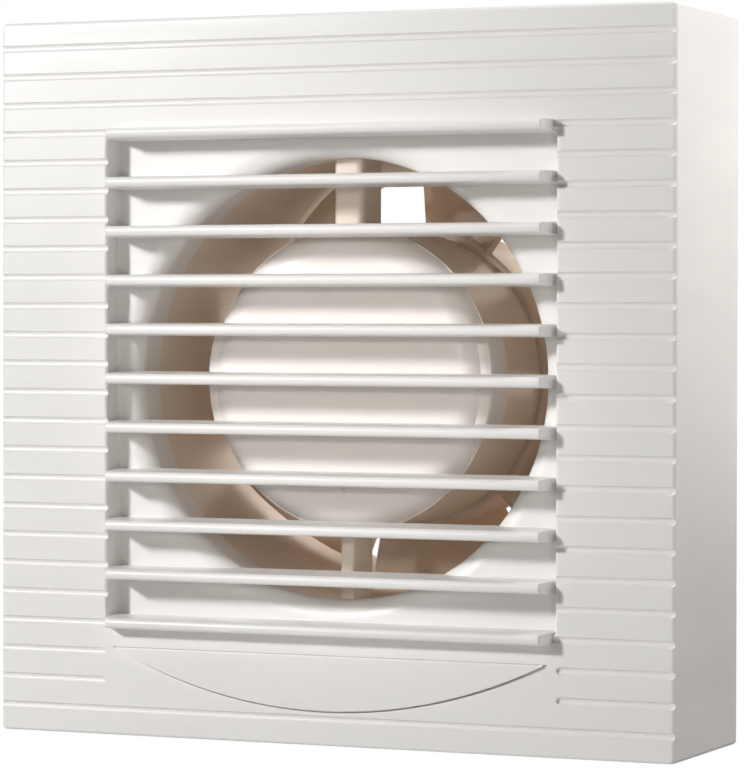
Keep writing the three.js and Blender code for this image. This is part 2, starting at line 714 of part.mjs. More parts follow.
function makeCableClamp() {
  const z = terminalZ + 15;
  const [y0, y1] = [-9.6, -7.1];
  let clamp = box(terminalX - 10, y0, z - 3, terminalX + 10, y1, z + 3);
  for (const x of [terminalX - 7, terminalX + 7]) {
    clamp = clamp.subtract(disc(1.4, y0 - 1, y1 + 1, 16, x, z));
  }
  addNode('cable_clamp', clamp, materials.terminalNylon);
  for (const [name, x] of [['left', terminalX - 7], ['right', terminalX + 7]]) {
    const screw = revolve([
      [0, y0 - 1.8], [1.6, y0 - 1.8], [2.3, y0 - 1], [2.3, y0 - 0.1], [1, y0 - 0.1],
      [1, -3], [0, -3],
    ], 12, x, z).subtract(box(x - 1.5, y0 - 2.4, z - 0.3, x + 1.5, y0 - 1.1, z + 0.3));
    addNode(`clamp_screw_${name}`, screw, materials.zincSteel);
  }
  // A rubber grommet lines the cable inlet: a flange in front and behind, a waist between.
  addNode('cable_grommet', revolve([
    [3.2, -4.6], [6.4, -4.6], [6.8, -4.2], [6.8, -plateThickness - 0.1],
    [4.8, -plateThickness - 0.1], [4.8, -0.2], [3.2, -0.2], [3.2, -4.6],
  ], 24, inletX, inletZ), materials.rubber);
}

// The motor's two leads: out along the top strut, then round the duct to the terminals.
function makeLead(name, x, turnRadius, poleX, surface) {
  const leadRadius = 0.8;
  const startY = -21.2;
  const drop = 3.2;
  const points = [27.2, 34, 42, turnRadius - 3.7, turnRadius - 1.3].map(
    (z) => new THREE.Vector3(x, startY, z));
  const [firstAngle, lastAngle, steps] = [83, -22, 9];
  for (let i = 0; i <= steps; i += 1) {
    const t = i / steps;
    const angle = (firstAngle + (lastAngle - firstAngle) * t) * Math.PI / 180;
    points.push(new THREE.Vector3(
      turnRadius * Math.cos(angle), startY + drop * t, turnRadius * Math.sin(angle)));
  }
  points.push(new THREE.Vector3(poleX, -16.4, terminalZ + 18));
  points.push(new THREE.Vector3(poleX, -13, terminalZ + 11.4));
  points.push(new THREE.Vector3(poleX, -8.8, terminalZ + 9.4));
  points.push(new THREE.Vector3(poleX, -8.3, terminalZ + 7.4));
  const path = new THREE.CatmullRomCurve3(points);
  const section = new THREE.Shape();
  section.absarc(0, 0, leadRadius, 0, 2 * Math.PI);
  const geometry = new THREE.ExtrudeGeometry(section, {
    steps: 32, curveSegments: 3, extrudePath: path,
  });
  addNode(name, solid(geometry), surface);
}

// ---------------------------------------------------------------- assembly

makeFrontCover();
makeHousing();
makeMotorCap();
makeMotor();
makeRotor();
makeTerminalBlock();
makeCableClamp();
makeLead('motor_lead_neutral', 0.98, 50.6, terminalX - 5, materials.leadBlue);
makeLead('motor_lead_live', -0.98, 53, terminalX + 5, materials.leadBrown);

export default group;
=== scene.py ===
# %% [markdown]
# # A bathroom extractor fan, piece by piece
# This lesson dresses a finished mechanical model of a wall fan. The model comes first, as a
# fixed frame: it says where each part is and which body it moves with. Every piece made
# below is placed by that frame, in metres, and none of its parts is moved.

# %% Load the frame
import json
import math

import bmesh
import bpy
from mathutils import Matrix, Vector


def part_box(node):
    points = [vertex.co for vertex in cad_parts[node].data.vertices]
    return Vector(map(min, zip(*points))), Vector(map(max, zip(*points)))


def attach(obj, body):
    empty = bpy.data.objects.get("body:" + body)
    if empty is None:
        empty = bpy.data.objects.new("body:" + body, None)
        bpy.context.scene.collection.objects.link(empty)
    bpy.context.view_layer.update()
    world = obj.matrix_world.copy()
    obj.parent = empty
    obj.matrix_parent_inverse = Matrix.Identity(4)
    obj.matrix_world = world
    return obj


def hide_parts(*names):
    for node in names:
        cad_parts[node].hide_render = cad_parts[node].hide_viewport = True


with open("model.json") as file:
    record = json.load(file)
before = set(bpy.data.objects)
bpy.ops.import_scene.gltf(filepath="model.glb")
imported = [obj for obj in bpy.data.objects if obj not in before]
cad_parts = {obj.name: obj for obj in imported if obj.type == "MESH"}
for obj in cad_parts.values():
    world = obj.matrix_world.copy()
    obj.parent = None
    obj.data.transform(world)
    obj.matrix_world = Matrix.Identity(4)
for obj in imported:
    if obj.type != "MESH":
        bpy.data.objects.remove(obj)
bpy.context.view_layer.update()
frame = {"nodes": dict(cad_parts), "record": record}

MM = 0.001

# %% [markdown]
# ## The camera
# A product picture like this one is taken from about 0.75 m with a long lens, level with
# the fan and about 24 degrees to the right of its axis. A long lens keeps the square cover
# nearly square. The camera is aimed by its angles, because a target point would hide them.

# %% Camera
SENSOR = 36.0
FOCAL_IN_IMAGE_HEIGHTS = 4.763


def set_camera(place, turn_left, look_down, roll):
    """Adds the camera at a place in metres, aimed by three angles in degrees."""
    data = bpy.data.cameras.new("studio_camera")
    data.sensor_width = SENSOR
    data.lens = SENSOR * FOCAL_IN_IMAGE_HEIGHTS
    data.clip_start = 0.05
    camera = bpy.data.objects.new("studio_camera", data)
    bpy.context.collection.objects.link(camera)
    camera.location = place
    camera.rotation_euler = (math.radians(90 - look_down), 0, math.radians(turn_left))
    camera.rotation_euler.rotate_axis("Z", math.radians(roll))
    bpy.context.scene.camera = camera
    return camera


camera = set_camera((0.3095, -0.7131, 0.0124), turn_left=23.925, look_down=1.018, roll=0.114)
print("lens", round(camera.data.lens, 1), "mm")

# %% [markdown]
# ## Helpers for modelling by hand
# Blender's operators work on what is selected, so each helper starts by deselecting
# everything. The other helpers wrap steps that a modeller repeats all the time: pick edges
# or faces by their place, add a box at its size, cut one piece with another, and turn an
# outline into a round piece ring by ring.


# %% Selecting
def deselect():
    if bpy.context.mode != "OBJECT":
        bpy.ops.object.mode_set(mode="OBJECT")
    bpy.ops.object.select_all(action="DESELECT")


def activate(piece):
    deselect()
    piece.select_set(True)
    bpy.context.view_layer.objects.active = piece


def edit(piece, kind="EDGE"):
    """Opens a piece in edit mode with nothing selected."""
    activate(piece)
    bpy.ops.object.mode_set(mode="EDIT")
    bpy.ops.mesh.select_mode(type=kind)
    bpy.ops.mesh.select_all(action="DESELECT")


def pick(piece, kind, test):
    """In edit mode, selects the faces, edges or vertices that pass a test."""
    bpy.ops.mesh.select_mode(type=kind)
    bpy.ops.mesh.select_all(action="DESELECT")
    mesh = bmesh.from_edit_mesh(piece.data)
    elements = {"FACE": mesh.faces, "EDGE": mesh.edges, "VERT": mesh.verts}[kind]
    for element in elements:
        if test(element):
            element.select_set(True)
    mesh.select_flush_mode()
    bmesh.update_edit_mesh(piece.data)


def near(a, b, tolerance=0.02 * MM):
    return abs(a - b) < tolerance


def facing(axis, sign, at):
    """A test for flat faces which point along an axis at a given place on it."""
    def test(face):
        return face.normal[axis] * sign > 0.99 and near(face.calc_center_median()[axis], at)
    return test


# %% Boxes, cuts and joins
def box(name, low, high):
    """A box between two corners, given in millimetres."""
    deselect()
    low, high = Vector(low) * MM, Vector(high) * MM
    bpy.ops.mesh.primitive_cube_add(size=1, location=(low + high) / 2, scale=high - low)
    piece = bpy.context.object
    piece.name = piece.data.name = name
    bpy.ops.object.transform_apply(location=True, rotation=True, scale=True)
    return piece


def rod(name, radius, start, end, sides=32):
    """A straight round bar between two points, given in millimetres."""
    deselect()
    start, end = Vector(start) * MM, Vector(end) * MM
    along = end - start
    bpy.ops.mesh.primitive_cylinder_add(
        vertices=sides, radius=radius * MM, depth=along.length, location=(start + end) / 2,
        rotation=along.to_track_quat("Z", "Y").to_euler())
    piece = bpy.context.object
    piece.name = piece.data.name = name
    bpy.ops.object.transform_apply(location=True, rotation=True, scale=True)
    return piece


def shape_with(piece, kind, **settings):
    """Adds a modifier, sets it and applies it."""
    activate(piece)
    modifier = piece.modifiers.new(kind, kind)
    for key, value in settings.items():
        setattr(modifier, key, value)
    bpy.ops.object.modifier_apply(modifier=modifier.name)


def join(name, pieces):
    """Makes several pieces one object."""
    deselect()
    for piece in pieces:
        piece.select_set(True)
    bpy.context.view_layer.objects.active = pieces[0]
    if len(pieces) > 1:
        bpy.ops.object.join()
    pieces[0].name = pieces[0].data.name = name
    return pieces[0]


def combine(piece, tool, operation="DIFFERENCE"):
    """Cuts a piece with a tool, or keeps what both share, and removes the tool."""
    shape_with(piece, "BOOLEAN", operation=operation, solver="EXACT", object=tool)
    bpy.data.objects.remove(tool)


def move_out(direction, scale=(1, 1, 1), about=(0, 0, 0)):
    """Extrudes what is selected along a direction, then scales it about a point."""
    bpy.ops.mesh.extrude_region_move(
        TRANSFORM_OT_translate={"value": Vector(direction) * MM})
    if tuple(scale) != (1, 1, 1):
        bpy.ops.transform.resize(value=scale, center_override=Vector(about) * MM)


def round_edges(offset, segments=3):
    bpy.ops.mesh.bevel(offset=offset * MM, segments=segments, affect="EDGES")


def smooth(piece, angle=35):
    """Shades a piece smooth, but for edges sharper than an angle."""
    activate(piece)
    bpy.ops.object.shade_smooth_by_angle(angle=math.radians(angle))
    shape_with(piece, "WEIGHTED_NORMAL", keep_sharp=True)


# %% Turned pieces
ON_AXIS = 0.0005
TURNS = 128


def turned(name, outline, turns=TURNS):
    """Sweeps an outline of (radius, y) points, in millimetres, round the fan's axis.

    It starts as a circle, and each further point is one ring extruded from the last.
    """
    deselect()
    points = [(max(radius, ON_AXIS), y) for radius, y in outline]
    first_radius, first_y = points[0]
    bpy.ops.mesh.primitive_circle_add(
        vertices=turns, radius=first_radius * MM, location=(0, first_y * MM, 0),
        rotation=(math.pi / 2, 0, 0))
    piece = bpy.context.object
    piece.name = piece.data.name = name
    bpy.ops.object.transform_apply(location=True, rotation=True, scale=True)
    bpy.ops.object.mode_set(mode="EDIT")
    bpy.ops.mesh.select_all(action="SELECT")
    for (radius0, y0), (radius1, y1) in zip(points, points[1:]):
        grow = radius1 / radius0
        move_out((0, y1 - y0, 0), (grow, 1, grow), (0, y1, 0))
    bpy.ops.mesh.select_all(action="SELECT")
    bpy.ops.mesh.remove_doubles(threshold=0.004 * MM)
    bpy.ops.mesh.normals_make_consistent(inside=False)
    deselect()
    return piece


def arc(centre_radius, centre_y, radius, start, end, steps=6):
    """Points of (radius, y) along an arc; angles in degrees, 0 outward and 90 along +Y."""
    points = []
    for i in range(steps + 1):
        angle = math.radians(start + (end - start) * i / steps)
        points.append((centre_radius + radius * math.cos(angle),
                       centre_y + radius * math.sin(angle)))
    return points


# %% [markdown]
# ## Main sizes
# The frame gives the places that matter: the cover's width and height, the noses of its
# louvre blades, the duct's end. The few other sizes are the wall thicknesses and depths of
# the mouldings.

# %% Sizes in millimetres
cover_low, cover_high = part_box("front_cover")
half_width = cover_high[0] / MM
half_height = cover_high[2] / MM
nose_y = cover_low[1] / MM
face_y = nose_y + 4.5
duct_end_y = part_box("housing")[1][1] / MM
recess_half = 50.0
floor_y = face_y + 5
wall = 2.0
throat_radius = 45.3
mouth_radius = 49.3
collar_end_y = -24.0
print("cover", round(2 * half_width, 1), "by", round(2 * half_height, 1), "mm")

# %% [markdown]
# ## The cover's shell
# The cover is one injection moulding: a square dish with a square recess in its face. It
# could be cut from a block with booleans, but a moulding's walls are even, so it is made
# as one would by hand: a block, whose face is scaled in and pushed back for the recess,
# and whose back is scaled in and pushed forward for the hollow. Then its edges are
# rounded, each by its own amount, as the mould is.

# %% Shell block
shell = box("cover_shell", (-half_width, face_y, -half_height), (half_width, 0, half_height))
edit(shell, "FACE")
pick(shell, "FACE", facing(1, -1, face_y * MM))
move_out((0, 0, 0), (recess_half / half_width, 1, recess_half / half_height), (0, face_y, 0))
move_out((0, floor_y - face_y, 0))
pick(shell, "FACE", facing(1, 1, 0))
move_out((0, 0, 0), (1 - wall / half_width, 1, 1 - wall / half_height))
move_out((0, face_y + wall, 0))
inner_x, inner_z = half_width - wall, half_height - wall
behind_recess = recess_half + wall
move_out((0, 0, 0), (behind_recess / inner_x, 1, behind_recess / inner_z))
move_out((0, floor_y - face_y, 0))

# %% Rounded edges of the shell


def ends(edge):
    return edge.verts[0].co / MM, edge.verts[1].co / MM


def on_outer_corner(edge):
    return all(near(abs(v.x), half_width, 0.02) and near(abs(v.z), half_height, 0.02)
               for v in ends(edge))


def on_face_outline(edge):
    return all(near(v.y, face_y, 0.02) and (near(abs(v.x), half_width, 0.02)
                                            or near(abs(v.z), half_height, 0.02))
               for v in ends(edge))


def on_recess(edge):
    return all(v.y < floor_y + 0.1 and abs(v.x) < recess_half + 0.1
               and abs(v.z) < recess_half + 0.1 for v in ends(edge))


pick(shell, "EDGE", lambda e: on_outer_corner(e) or on_face_outline(e))
round_edges(0.8, 4)
pick(shell, "EDGE", on_recess)
round_edges(0.7, 3)
deselect()
print("shell has", len(shell.data.polygons), "faces")

# %% [markdown]
# ## The round opening and the grooves
# The recess floor has a round hole for the air. The face has twenty-four shallow grooves,
# half round, 6 mm apart, which run out over the outer edge. Where they meet the recess or
# the handle pad they stop, and beside the pad they stop in a round end. A groove is cut by
# a rod whose middle lies just in front of the face, so that its bottom is round.

# %% Cutting the opening
combine(shell, rod("hole_cutter", mouth_radius, (0, floor_y - 1, 0), (0, floor_y + 4, 0), TURNS))

# %% Cutting the grooves
GROOVES = 24
GROOVE_PITCH = 6.0
GROOVE_RADIUS = 0.72
pad_top_z, pad_bottom_z, pad_half = -56.0, -67.3, 47.8
groove_y = face_y - 0.08
overrun = 2.0


def groove_cutter(x0, x1, z, round_end=None):
    """A rod with its widest row of points flared, for a soft lip on the groove."""
    cutter = rod("groove_cutter", GROOVE_RADIUS, (x0, groove_y, z), (x1, groove_y, z), 20)
    edit(cutter, "VERT")
    pick(cutter, "VERT", lambda v: near(v.co.y / MM, groove_y, 0.05))
    bpy.ops.transform.resize(value=(1, 1, 1.2), center_override=(0, 0, z * MM))
    if round_end is not None:
        pick(cutter, "VERT", lambda v: near(v.co.x / MM, round_end, 0.05))
        move_out((math.copysign(0.35, -round_end), 0, 0), (1, 0.8, 0.8),
                 (round_end, groove_y, z))
        move_out((math.copysign(0.22, -round_end), 0, 0), (1, 0.5, 0.5),
                 (round_end, groove_y, z))
    deselect()
    return cutter


def groove_cutters():
    """One rod for each groove, or a left and a right one where the middle is smooth."""
    cutters = []
    for i in range(GROOVES):
        z = (GROOVES / 2 - 0.5 - i) * GROOVE_PITCH
        if abs(z) < recess_half + 2:
            inner = recess_half - 2
        elif pad_bottom_z < z < pad_top_z:
            inner = recess_half + 0.9
        else:
            inner = 0
        if inner:
            cutters.append(groove_cutter(-half_width - overrun, -inner, z, -inner))
            cutters.append(groove_cutter(inner, half_width + overrun, z, inner))
        else:
            cutters.append(groove_cutter(-half_width - overrun, half_width + overrun, z))
    return cutters


combine(shell, join("groove_cutters", groove_cutters()))
print("grooved shell has", len(shell.data.polygons), "faces")

# %% [markdown]
# ## The bell mouth
# Behind the recess the moulding flares in a smooth curve to the throat, and runs on as a
# short collar over the duct. A round piece like this is turned: its outline is a closed
# loop of radius and depth, with a true arc for the flare.

# %% Bell mouth and collar
flare = 3.9
ring_outline = [(mouth_radius + 1.2, floor_y + 0.6), (mouth_radius + 1.2, floor_y + 0.01),
                (mouth_radius + 0.05, floor_y + 0.01)]
ring_outline += arc(throat_radius + flare + 0.1, floor_y + flare + 0.05, flare + 0.05, 270, 180, 10)
ring_outline += [(throat_radius, collar_end_y + 0.1), (throat_radius + 0.25, collar_end_y + 0.4),
                 (throat_radius + 1.5, collar_end_y + 0.4),
                 (throat_radius + 1.9, collar_end_y - 0.1),
                 (throat_radius + 1.9, floor_y + 3), (mouth_radius - 0.4, floor_y + 2.4),
                 (mouth_radius + 1.2, floor_y + 1.6), (mouth_radius + 1.2, floor_y + 0.6)]
ring = turned("intake_ring", ring_outline)
smooth(ring, 40)

# %% [markdown]
# ## The louvre blades
# Eleven blades cross the recess. Each is a thin bar whose front is a round bead a little
# narrower than its root, so that the mould can open. One blade is modelled: a block,
# scaled in at its front, with its front edges rounded until they make the bead. The
# others are copies with a mesh of their own. Over the opening each blade reaches further
# back, as far as the bell mouth's curve: those roots are bars trimmed to a round.

# %% One blade
BLADES = 11
BLADE_PITCH = 10.15
nose_half, root_half = 1.06, 1.35
nose_reach, root_reach = 48.3, recess_half + 0.3


def louvre_blade(z):
    blade = box("louvre_blade", (-root_reach, nose_y, z - root_half),
                (root_reach, floor_y + 0.2, z + root_half))
    edit(blade, "FACE")
    pick(blade, "FACE", facing(1, -1, nose_y * MM))
    bpy.ops.transform.resize(
        value=(nose_reach / root_reach, 1, nose_half / root_half),
        center_override=(0, nose_y * MM, z * MM))
    pick(blade, "EDGE", lambda e: all(near(v.y, nose_y, 0.02) for v in ends(e)))
    round_edges(0.95, 5)
    deselect()
    return blade


def blade_root(z):
    root = box("blade_root", (-throat_radius - 2, floor_y - 0.3, z - root_half),
               (throat_radius + 2, face_y + 9, z + root_half))
    edit(root, "EDGE")
    pick(root, "EDGE", lambda e: all(near(v.y, face_y + 9, 0.02) for v in ends(e)))
    round_edges(0.7, 3)
    deselect()
    return root


# %% All the blades
heights = [((BLADES - 1) / 2 - i) * BLADE_PITCH for i in range(BLADES)]
blades = [louvre_blade(z) for z in heights]
roots = join("blade_roots", [blade_root(z) for z in heights if abs(z) < throat_radius - 1])
combine(roots, rod("root_trimmer", throat_radius + 1, (0, floor_y - 2, 0), (0, 0, 0), TURNS),
        "INTERSECT")
louvres = join("louvre_blades", blades + [roots])
smooth(louvres, 40)
print("louvres have", len(louvres.data.polygons), "faces")

# %% [markdown]
# ## The handle pad
# Under the louvres a slim smile-shaped pad stands half a millimetre proud, where a finger
# pushes to open the cover. It is a slice of a large disc: a circle cut by a plane, then
# given its thickness, with a soft edge of three small steps. A slightly larger slice first
# cuts a fine seam round its arc.

# %% Pad


def disc_slice(name, grow, back_y):
    """A flat slice of the pad's disc, made larger all round its arc."""
    deselect()
    bpy.ops.mesh.primitive_circle_add(
        vertices=360, radius=(pad_radius + grow) * MM, fill_type="NGON",
        location=(0, back_y * MM, (pad_bottom_z + pad_radius) * MM), rotation=(math.pi / 2, 0, 0))
    piece = bpy.context.object
    piece.name = piece.data.name = name
    bpy.ops.object.transform_apply(location=True, rotation=True, scale=True)
    bpy.ops.object.mode_set(mode="EDIT")
    bpy.ops.mesh.select_all(action="SELECT")
    bpy.ops.mesh.bisect(plane_co=(0, 0, pad_top_z * MM), plane_no=(0, 0, 1), clear_outer=True)
    bpy.ops.mesh.select_all(action="SELECT")
    return piece


sagitta = pad_top_z - pad_bottom_z
pad_radius = (pad_half ** 2 + sagitta ** 2) / (2 * sagitta)
seam_width, seam_depth = 0.3, 0.7
seam = disc_slice("seam_cutter", seam_width, face_y + seam_depth)
move_out((0, -seam_depth - 1, 0))
bpy.ops.mesh.select_all(action="SELECT")
bpy.ops.mesh.normals_make_consistent(inside=False)
combine(shell, seam)
smooth(shell, 40)

pad = disc_slice("handle_pad", 0, face_y + seam_depth + 0.2)
pad_middle = (pad_top_z + pad_bottom_z) / 2
move_out((0, -seam_depth - 0.5, 0))
for rise, inset in ((0.16, 0.06), (0.12, 0.1), (0.07, 0.16)):
    shrink = (1 - inset / pad_half, 1, 1 - inset / (sagitta / 2))
    move_out((0, -rise, 0), shrink, (0, 0, pad_middle))
bpy.ops.mesh.select_all(action="SELECT")
bpy.ops.mesh.normals_make_consistent(inside=False)
deselect()
smooth(pad, 40)

# %% [markdown]
# ## The housing
# Behind the cover, one moulding holds everything: a plate on the wall, the duct, and two
# struts that carry the motor's cup. It is made here as four simple pieces that meet inside
# their walls. The plate is a tray pushed in from a block; the duct and the cup are turned.

# %% Wall plate
housing_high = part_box("housing")[1]
plate_x, plate_z = housing_high[0] / MM, housing_high[2] / MM
rim_y, plate_y = -10.0, -2.5
duct_outer, duct_inner, duct_front_y = 48.5, 46.2, -23.5
plate = box("wall_plate", (-plate_x, rim_y, -plate_z), (plate_x, 0, plate_z))
edit(plate, "FACE")
pick(plate, "FACE", facing(1, -1, rim_y * MM))
move_out((0, 0, 0), (1 - 1.8 / plate_x, 1, 1 - 1.8 / plate_z), (0, rim_y, 0))
move_out((0, plate_y - rim_y, 0))
pick(plate, "EDGE", lambda e: all(v.y < rim_y + 0.1 for v in ends(e)))
round_edges(0.3, 2)
deselect()
cutters = [rod("duct_cut", duct_outer - 1, (0, -20, 0), (0, 5, 0), TURNS),
           rod("inlet_cut", 5, (59, -12, -20), (59, 5, -20))]
for side in (-1, 1):
    for z in (-34, 34):
        near_x, far_x = sorted((side * (plate_x - 3), side * (plate_x + 2)))
        cutters.append(box("notch_cut", (near_x, -12, z - 6), (far_x, -5, z + 6)))
combine(plate, join("plate_cutters", cutters))


# %% Bosses and ribs on the plate
def boss(x, z, radius, front_y, hole):
    """A round post on the plate with a screw hole down its middle."""
    post = rod("boss", radius, (x, front_y, z), (x, plate_y + 1, z))
    edit(post, "EDGE")
    pick(post, "EDGE", lambda e: all(near(v.y, front_y, 0.02) for v in ends(e)))
    round_edges(0.4, 2)
    deselect()
    combine(post, rod("boss_hole", hole, (x, front_y - 2, z), (x, 3, z)))
    return post


screw_places = [(x, z) for x in (-40, 40) for z in (-62, 62)]
screw_hole = 2.3
bosses = [boss(x, z, 5, -6, screw_hole) for x, z in screw_places]
bosses += [boss(x, -33, 2.6, -7, 1.1) for x in (51, 65)]
combine(plate, join("screw_holes", [rod("screw_cut", screw_hole, (x, -5, z), (x, 3, z))
                                    for x, z in screw_places]))


def rib(angle):
    """A brace from the duct to the plate, at an angle round the axis."""
    brace = box("rib", (duct_outer - 1.5, -11, -0.8), (duct_outer + 12.5, plate_y + 0.5, 0.8))
    edit(brace, "VERT")
    pick(brace, "VERT", lambda v: v.co.x > duct_outer * MM + 0.01 and v.co.y < -0.01)
    bpy.ops.transform.translate(value=(-8 * MM, 0, 0))
    deselect()
    brace.rotation_euler.y = -math.radians(angle)
    activate(brace)
    bpy.ops.object.transform_apply(location=True, rotation=True, scale=True)
    return brace


plate = join("wall_plate", [plate] + bosses + [rib(angle) for angle in (135, 180, 225)])
smooth(plate, 35)
print("wall plate has", len(plate.data.polygons), "faces")

# %% Duct
duct_outline = [(duct_inner, duct_front_y + 0.4), (duct_inner + 0.4, duct_front_y),
                (duct_outer - 0.5, duct_front_y), (duct_outer, duct_front_y + 0.5),
                (duct_outer, duct_end_y - 12), (duct_outer - 0.35, duct_end_y - 11),
                (duct_outer - 0.6, duct_end_y - 1.2), (duct_outer - 1.3, duct_end_y),
                (duct_inner + 0.4, duct_end_y), (duct_inner, duct_end_y - 0.4),
                (duct_inner, 22.5), (duct_inner, 1.5), (duct_inner, duct_front_y + 0.4)]
duct = turned("duct_tube", duct_outline)
combine(duct, box("lead_slot", (-1.95, -26, 40), (1.95, -18.5, 55)))
smooth(duct, 35)

# %% Motor cup
cup_outer, cup_inner, cup_front_y, cup_back_y = 31.0, 29.0, -25.4, 2.0
cup_outline = [(4.5, 0), (cup_inner, 0), (cup_inner, cup_front_y + 0.2),
               (cup_inner + 0.2, cup_front_y), (cup_outer - 0.3, cup_front_y),
               (cup_outer, cup_front_y + 0.3), (cup_outer, cup_back_y - 0.8)]
cup_outline += arc(cup_outer - 0.8, cup_back_y - 0.8, 0.8, 0, 90, 4)[1:]
cup_outline += [(4.5, cup_back_y), (4.5, 0)]
cup = turned("motor_cup", cup_outline)
combine(cup, box("lead_notch", (-1.95, -24.9, 26), (1.95, -17.5, 33)))
smooth(cup, 35)

# %% [markdown]
# ## The struts
# The wide top strut is a channel, open at the back, which hides the motor's leads. The
# bottom one is a plain fin. Both have softly rounded fronts, because air and the mould
# both prefer them. Each is a block with its front edges rounded; the channel is the back
# face scaled in and pushed forward.


# %% Struts
strut_front_y, strut_back_y = -28.0, -18.5


def strut(name, half, low_z, high_z, rounding):
    piece = box(name, (-half, strut_front_y, low_z), (half, strut_back_y, high_z))
    edit(piece, "EDGE")
    pick(piece, "EDGE", lambda e: all(near(v.y, strut_front_y, 0.02) for v in ends(e))
         and near(ends(e)[0].x, ends(e)[1].x, 0.02))
    round_edges(rounding, 4)
    deselect()
    return piece


top_strut = strut("top_strut", 3.3, 30.6, 45.25, 1.5)
edit(top_strut, "FACE")
pick(top_strut, "FACE", facing(1, 1, strut_back_y * MM))
move_out((0, 0, 0), (0.62, 1, 0.86), (0, strut_back_y, 37))
move_out((0, -7.7, 0))
deselect()
bottom_strut = strut("bottom_strut", 1.5, -45.25, -30.6, 0.7)
feet = [box("strut_foot", (-3.2, -23.3, 44), (-1.95, -18.6, 46.8)),
        box("strut_foot", (1.95, -23.3, 44), (3.2, -18.6, 46.8)),
        box("strut_foot", (-1.4, -23.3, -46.8), (1.4, -18.6, -44))]
struts = join("cup_struts", [top_strut, bottom_strut] + feet)
smooth(struts, 35)

# %% [markdown]
# ## The motor's cap
# A shallow dome closes the cup. Its flat middle falls away in a soft curve to the rim, and
# a small gate mark is left by the mould. Small tabs at the left and right clip over the
# cup. The dome is turned, and the gate mark is a tiny round cut.

# %% Cap
cap_y = face_y + 9
cap_outline = [(0, cap_y), (25.2, cap_y), (25.5, cap_y)]
cap_outline += arc(25.5, cap_y + 6, 6, 270, 345, 10)[1:]
cap_outline += [(31.5, cup_front_y - 0.6), (31.2, cup_front_y - 0.3), (28.4, cup_front_y - 0.3),
                (28.4, -24.2), (27.4, -24.2), (27.4, cap_y + 3), (25.4, cap_y + 1.5),
                (0, cap_y + 1.5)]
cap = turned("cap_dome", cap_outline)
combine(cap, rod("gate_mark", 0.4, (0, cap_y - 2, -23), (0, cap_y + 0.3, -23), 16))


def cap_tab(side):
    """A clip that reaches back over the cup, bent to its curve."""
    tab = turned("cap_tab", [(29.4, -28.25), (30.8, -28.2), (31.8, -27.7), (32.3, -26.8),
                             (32.35, -20), (32, -19.6), (31.35, -19.6), (31.35, -25.9),
                             (29.4, -26.9), (29.4, -28.25)], 96)
    x0, x1 = sorted((side * 25, side * 40))
    combine(tab, box("tab_trim", (x0, -30, -9.5), (x1, -15, 9.5)), "INTERSECT")
    return tab


cap = join("cap_dome", [cap, cap_tab(-1), cap_tab(1)])
smooth(cap, 30)
print("cap has", len(cap.data.polygons), "faces")

# %% [markdown]
# ## The impeller
# Seven broad blades stand round a deep hub behind the motor. A blade of this kind is a
# twisted plate. It is drawn as its inner-to-outer edge, which is then extruded step by
# step, turned a few degrees and moved back each time, so that it winds round the axis. Its
# outer corners are rounded, and then it gets its thickness.

# %% Hub
hub_radius, tip_radius = 32.5, 44.6
fan_front_y, fan_back_y = 2.3, 21.0
hub_outline = [(2.1, fan_front_y), (hub_radius - 1, fan_front_y)]
hub_outline += arc(hub_radius - 1, fan_front_y + 1, 1, 270, 360, 4)[1:]
hub_outline += [(hub_radius, fan_back_y - 0.3), (hub_radius - 0.3, fan_back_y),
                (hub_radius - 1.5, fan_back_y), (hub_radius - 1.8, fan_back_y - 0.3),
                (hub_radius - 1.8, fan_front_y + 3), (hub_radius - 3, fan_front_y + 1.8),
                (7, fan_front_y + 1.8), (6, fan_front_y + 2.8), (6, 15.2), (5.7, 15.5),
                (2.1, 15.5), (2.1, fan_front_y)]
hub = turned("impeller_hub", hub_outline)

# %% One fan blade
FAN_BLADES = 7
SWEEP_STEPS = 12
sweep, first_edge = 39.5, 54.4


def turn(degrees):
    """Turns what is selected about the fan's axis: positive carries +X towards +Z."""
    bpy.ops.transform.rotate(
        value=math.radians(degrees), orient_axis="Y", orient_type="GLOBAL",
        center_override=(0, 0, 0))


def azimuth(point):
    return math.degrees(math.atan2(point[2], point[0]))


def fan_blade():
    deselect()
    inner, outer = hub_radius - 0.8, tip_radius
    bpy.ops.mesh.primitive_plane_add(size=1, location=((inner + outer) / 2 * MM, 0, 0))
    blade = bpy.context.object
    blade.scale = ((outer - inner) * MM, 1 * MM, 1)
    bpy.ops.object.transform_apply(location=True, rotation=True, scale=True)
    edit(blade, "VERT")
    pick(blade, "VERT", lambda v: v.co.y > 0)
    bpy.ops.mesh.delete(type="VERT")
    bpy.ops.mesh.select_all(action="SELECT")
    bpy.ops.mesh.subdivide(number_cuts=5)
    bpy.ops.mesh.select_all(action="SELECT")
    bpy.ops.transform.translate(value=(0, (fan_front_y + 1.0) * MM, 0))
    travel = fan_back_y - fan_front_y - 2.0
    even = 1 / SWEEP_STEPS
    for i in range(SWEEP_STEPS):
        rise = math.sin(math.pi / 2 * (i + 1) * even) - math.sin(math.pi / 2 * i * even)
        move_out((0, travel * (0.35 * rise + 0.65 * even), 0))
        turn(sweep / SWEEP_STEPS)
    return blade


blade = fan_blade()
blade_mesh = bmesh.from_edit_mesh(blade.data)
angles = [azimuth(v.co) for v in blade_mesh.verts]
print("blade sweeps from", round(min(angles), 1), "to", round(max(angles), 1), "degrees")


def at_tip_corner(vertex):
    radius = math.hypot(vertex.co.x, vertex.co.z) / MM
    at_end = near(azimuth(vertex.co), 0, 0.1) or near(azimuth(vertex.co), sweep, 0.1)
    return near(radius, tip_radius, 0.05) and at_end


